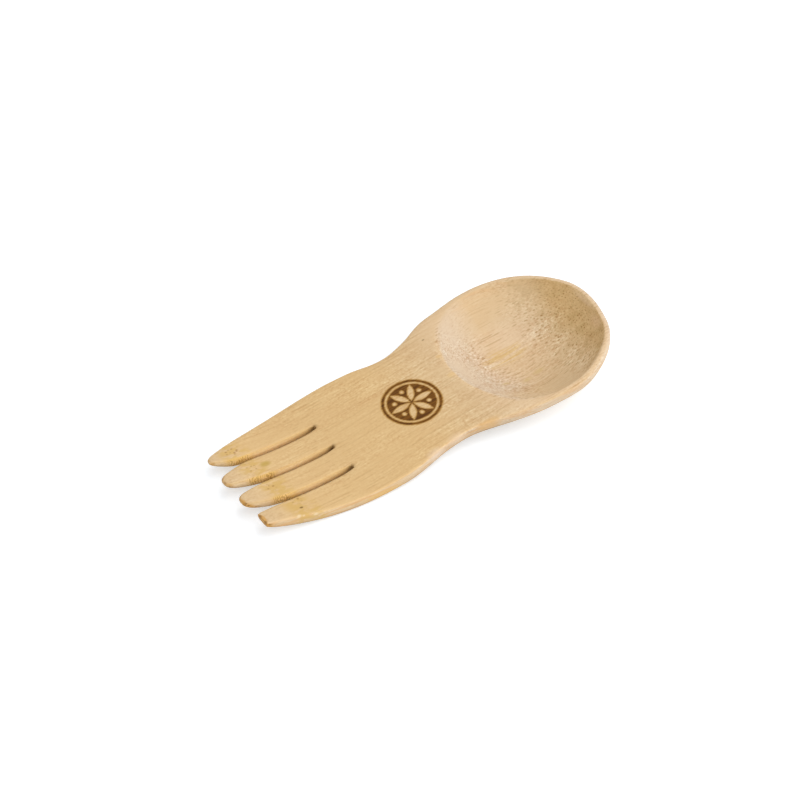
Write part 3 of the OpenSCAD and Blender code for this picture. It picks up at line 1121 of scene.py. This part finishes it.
        height = g.product(grain["Dashes"], -self.dash_depth)
        height = g.sum(Sum.SUBTRACT, height, g.product(grain["Rod"], self.rod_depth))
        height = g.sum(Sum.SUBTRACT, height, g.product(char, self.char_depth))
        bump = g.node("ShaderNodeBump")
        bump.inputs["Strength"].default_value = self.relief_strength
        bump.inputs["Distance"].default_value = self.relief_depth * MM
        g.feed(bump.inputs["Height"], height)
        rough = g.ease(grain["Lines"], *self.roughness_span, *self.roughness)
        rough = g.sum(Sum.LARGER, rough, g.product(char, self.char_roughness))
        shader = g.node("ShaderNodeBsdfPrincipled")
        g.feed(shader.inputs["Base Color"], colour)
        g.feed(shader.inputs["Roughness"], rough)
        shader.inputs["Specular IOR Level"].default_value = self.shine
        g.feed(shader.inputs["Normal"], bump.outputs["Normal"])
        output = g.node("ShaderNodeOutputMaterial")
        g.feed(output.inputs["Surface"], shader.outputs["BSDF"])
        return material


@dataclass(frozen=True)
class Nudge:
    """A place that the hand has left a little out of true. Lengths are in millimetres."""

    at: Triple
    move: Triple
    reach: float


@dataclass
class Spork:
    """The spork itself, carved from one piece of bamboo.

    Lengths are in metres, and in millimetres in the nudges.
    """

    name: str = "spork_bamboo"
    merge_gap: float = 1e-6
    join_angle: float = math.radians(40)
    fineness: int = 2
    slot_root_x: float = -0.028
    slot_pitch: float = 0.009
    slot_rows: tuple[int, ...] = (-1, 0, 1)
    slot_clearance: float = 0.0009
    root_gap: float = 0.0003
    root_angle: float = math.radians(40)
    root_crease: float = 1.0
    ripple_size: float = 0.022
    ripple_layers: int = 1
    ripple_depth: float = 0.00024
    nudges: tuple[Nudge, ...] = (
        Nudge((59.1, 5.2, 12.2), (0.45, 0.35, 0.0), 9.0),
        Nudge((58.4, -7.6, 12.2), (-0.40, 0.10, 0.0), 7.0),
        Nudge((38.0, -24.2, 7.5), (0.35, -0.45, 0.0), 10.0),
        Nudge((16.1, 21.8, 7.6), (-0.15, 0.60, 0.0), 8.0),
        Nudge((-8.6, 19.2, 4.9), (0.0, 0.45, 0.0), 7.0),
        Nudge((0.2, -18.2, 5.4), (0.10, -0.45, 0.0), 7.0),
        Nudge((-59.4, 5.8, 5.6), (0.0, -0.65, 0.0), 10.0),
        Nudge((-52.8, 10.0, 3.4), (0.0, -0.55, 0.0), 6.0),
    )

    def carve(self, node: bpy.types.Object) -> bpy.types.Object:
        """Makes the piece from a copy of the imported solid, with faces of four sides where it can.

        Args:
            node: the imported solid's object, which stays as it is.

        Returns:
            The new piece, at the origin.
        """
        piece = bpy.data.objects.new(self.name, node.data.copy())
        bpy.context.scene.collection.objects.link(piece)
        bpy.ops.object.select_all(action="DESELECT")
        piece.select_set(True)
        bpy.context.view_layer.objects.active = piece
        bpy.ops.object.mode_set(mode="EDIT")
        bpy.ops.mesh.select_all(action="SELECT")
        bpy.ops.mesh.remove_doubles(threshold=self.merge_gap)
        bpy.ops.mesh.tris_convert_to_quads(
            face_threshold=self.join_angle, shape_threshold=self.join_angle
        )
        bpy.ops.object.mode_set(mode="OBJECT")
        return piece

    def shape_by_hand(self, piece: bpy.types.Object) -> None:
        """Draws the places out of true that the hand has left so.

        Args:
            piece: the carved piece, still coarse.
        """
        bpy.ops.object.mode_set(mode="EDIT")
        for nudge in self.nudges:
            bpy.ops.mesh.select_all(action="DESELECT")
            mesh = bmesh.from_edit_mesh(piece.data)
            at = Vector(nudge.at) * MM
            min(mesh.verts, key=lambda point: (point.co - at).length).select_set(True)
            bmesh.update_edit_mesh(piece.data)
            bpy.ops.transform.translate(
                value=Vector(nudge.move) * MM,
                use_proportional_edit=True,
                use_proportional_connected=True,
                proportional_edit_falloff="SMOOTH",
                proportional_size=nudge.reach * MM,
            )
        bpy.ops.object.mode_set(mode="OBJECT")

    def hold_slot_roots(self, piece: bpy.types.Object) -> None:
        """Creases the square ends of the slots, so that smoothing doesn't close them.

        Args:
            piece: the carved piece, still coarse.
        """
        bpy.ops.object.mode_set(mode="EDIT")
        bpy.ops.mesh.select_all(action="DESELECT")
        mesh = bmesh.from_edit_mesh(piece.data)
        for edge in mesh.edges:
            middle = (edge.verts[0].co + edge.verts[1].co) / 2
            off = min(abs(middle.y - row * self.slot_pitch) for row in self.slot_rows)
            at_root = abs(middle.x - self.slot_root_x) < self.root_gap and off < self.slot_clearance
            edge.select_set(at_root and edge.calc_face_angle(0.0) > self.root_angle)
        bmesh.update_edit_mesh(piece.data)
        bpy.ops.transform.edge_crease(value=self.root_crease)
        bpy.ops.object.mode_set(mode="OBJECT")

    def refine(self, piece: bpy.types.Object) -> None:
        """Makes the surface finer and gives it the slight unevenness that sanding by hand leaves.

        Args:
            piece: the shaped piece.
        """
        finer = piece.modifiers.new("finer", "SUBSURF")
        finer.levels = finer.render_levels = self.fineness
        bpy.ops.object.modifier_apply(modifier=finer.name)
        cloud = bpy.data.textures.new("hand_sanding", "CLOUDS")
        cloud.noise_scale = self.ripple_size
        cloud.noise_depth = self.ripple_layers
        uneven = piece.modifiers.new("uneven", "DISPLACE")
        uneven.texture = cloud
        uneven.texture_coords = "LOCAL"
        uneven.strength = self.ripple_depth
        uneven.mid_level = NOISE_MIDDLE
        bpy.ops.object.modifier_apply(modifier=uneven.name)
        bpy.ops.object.shade_smooth()

    def build(self, frame: dict) -> bpy.types.Object:
        """Builds and dresses the piece and puts it in the frame.


        Returns:
            The finished piece.
        """
        piece = self.carve(frame["nodes"][CAD_NODE])
        self.shape_by_hand(piece)
        self.hold_slot_roots(piece)
        self.refine(piece)
        piece.data.materials.clear()
        piece.data.materials.append(SandedBamboo().build())
        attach(piece, BODY)
        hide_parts(CAD_NODE)
        return piece


@dataclass(frozen=True)
class StudioLight:
    """A soft lamp over the table. Lengths are in metres, angles in degrees and power in watts."""

    name: str
    turn: float
    rise: float
    away: float
    size: float
    power: float

    def build(self) -> bpy.types.Object:
        """Makes the lamp, aimed at the middle of the table.

        Returns:
            The lamp's object.
        """
        turn, rise = math.radians(self.turn), math.radians(self.rise)
        level = math.cos(rise)
        towards = Vector((math.cos(turn) * level, math.sin(turn) * level, math.sin(rise)))
        lamp = bpy.data.lights.new(self.name, "AREA")
        lamp.shape = "SQUARE"
        lamp.size = self.size
        lamp.energy = self.power
        holder = bpy.data.objects.new(self.name, lamp)
        holder.location = towards * self.away
        holder.rotation_euler = towards.to_track_quat("Z", "Y").to_euler()
        bpy.context.scene.collection.objects.link(holder)
        return holder


@dataclass
class Studio:
    """The white table, the light and the camera. Lengths are in metres."""

    floor_size: float = 8.0
    floor_white: Colour = (0.775, 0.820, 0.870, 1.0)
    floor_roughness: float = 1.0
    floor_shine: float = 0.0
    floor_glow: float = 0.458
    floor_far_glow: float = 0.80
    floor_far_span: Span = (0.6, 2.0)
    sky_light: float = 0.48
    eye: Triple = (-0.20998, -0.28366, 0.34530)
    aim: Triple = (-0.0015, 0.0068, 0.0)
    lens: float = 81.0
    sensor: float = 36.0
    lamps: tuple[StudioLight, ...] = (
        StudioLight("soft_key", turn=-24.0, rise=50.0, away=1.2, size=1.8, power=14.7),
        StudioLight("front_fill", turn=-108.0, rise=16.0, away=1.0, size=0.6, power=1.7),
        StudioLight("left_fill", turn=196.0, rise=12.0, away=1.0, size=0.6, power=1.0),
    )

    def _seen(self, g: Graph) -> Socket:
        """Finds the rays that show the backdrop: to the camera, mirrored or through glass.

        Args:
            g: the graph of the floor or the room.

        Returns:
            The mask of those rays.
        """
        path = g.node("ShaderNodeLightPath").outputs
        shown = g.sum(Sum.LARGER, path["Is Camera Ray"], path["Is Glossy Ray"])
        return g.sum(Sum.LARGER, shown, path["Is Transmission Ray"])

    def lay_floor(self) -> bpy.types.Object:
        """Lays the white table, which keeps the spork's shadow and is white to its far edge.

        Returns:
            The floor's object.
        """
        bpy.ops.object.select_all(action="DESELECT")
        bpy.ops.mesh.primitive_plane_add(size=self.floor_size, location=(0.0, 0.0, 0.0))
        floor = bpy.context.object
        floor.name = "white_table"
        paint = bpy.data.materials.new("white_table")
        paint.use_nodes = True
        g = Graph(paint.node_tree)
        shader = g.node("ShaderNodeBsdfPrincipled")
        shader.inputs["Base Color"].default_value = self.floor_white
        shader.inputs["Roughness"].default_value = self.floor_roughness
        shader.inputs["Specular IOR Level"].default_value = self.floor_shine
        shader.inputs["Emission Color"].default_value = WHITE
        away = g.place(Reach.LENGTH, g.node("ShaderNodeTexCoord").outputs["Object"])
        glow = g.ease(away, *self.floor_far_span, self.floor_glow, self.floor_far_glow)
        g.feed(shader.inputs["Emission Strength"], g.product(self._seen(g), glow))
        output = g.node("ShaderNodeOutputMaterial")
        g.feed(output.inputs["Surface"], shader.outputs["BSDF"])
        floor.data.materials.append(paint)
        return floor

    def light_room(self) -> None:
        """Makes the lamps and the even light of the room, which looks white behind the table."""
        world = bpy.data.worlds.new("white_room")
        bpy.context.scene.world = world
        world.use_nodes = True
        g = Graph(world.node_tree)
        sky = g.node("ShaderNodeBackground")
        sky.inputs["Color"].default_value = WHITE
        g.feed(sky.inputs["Strength"], g.ease(self._seen(g), *WHOLE, self.sky_light, 1.0))
        output = g.node("ShaderNodeOutputWorld")
        g.feed(output.inputs["Surface"], sky.outputs["Background"])
        for lamp in self.lamps:
            lamp.build()

    def place_camera(self) -> None:
        """Puts the camera at the photograph's viewing angle."""
        lens = bpy.data.cameras.new("camera")
        lens.lens = self.lens
        lens.sensor_width = self.sensor
        camera = bpy.data.objects.new("camera", lens)
        camera.location = self.eye
        sight = Vector(self.aim) - Vector(self.eye)
        camera.rotation_euler = sight.to_track_quat("-Z", "Y").to_euler()
        bpy.context.scene.collection.objects.link(camera)
        bpy.context.scene.camera = camera

    def build(self) -> None:
        """Builds the whole studio."""
        self.lay_floor()
        self.light_room()
        self.place_camera()
        bpy.context.scene.view_settings.view_transform = "Standard"


def main() -> None:
    """Builds the studio and the spork and logs the piece's counts of points and faces."""
    logging.basicConfig(level=logging.INFO, format="%(name)s: %(message)s")
    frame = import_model()
    Studio().build()
    LOG.info("studio: floor, light and camera")
    piece = Spork().build(frame)
    mesh = piece.data
    LOG.info("%s: %d points, %d faces", piece.name, len(mesh.vertices), len(mesh.polygons))


if __name__ == "__main__":
    main()
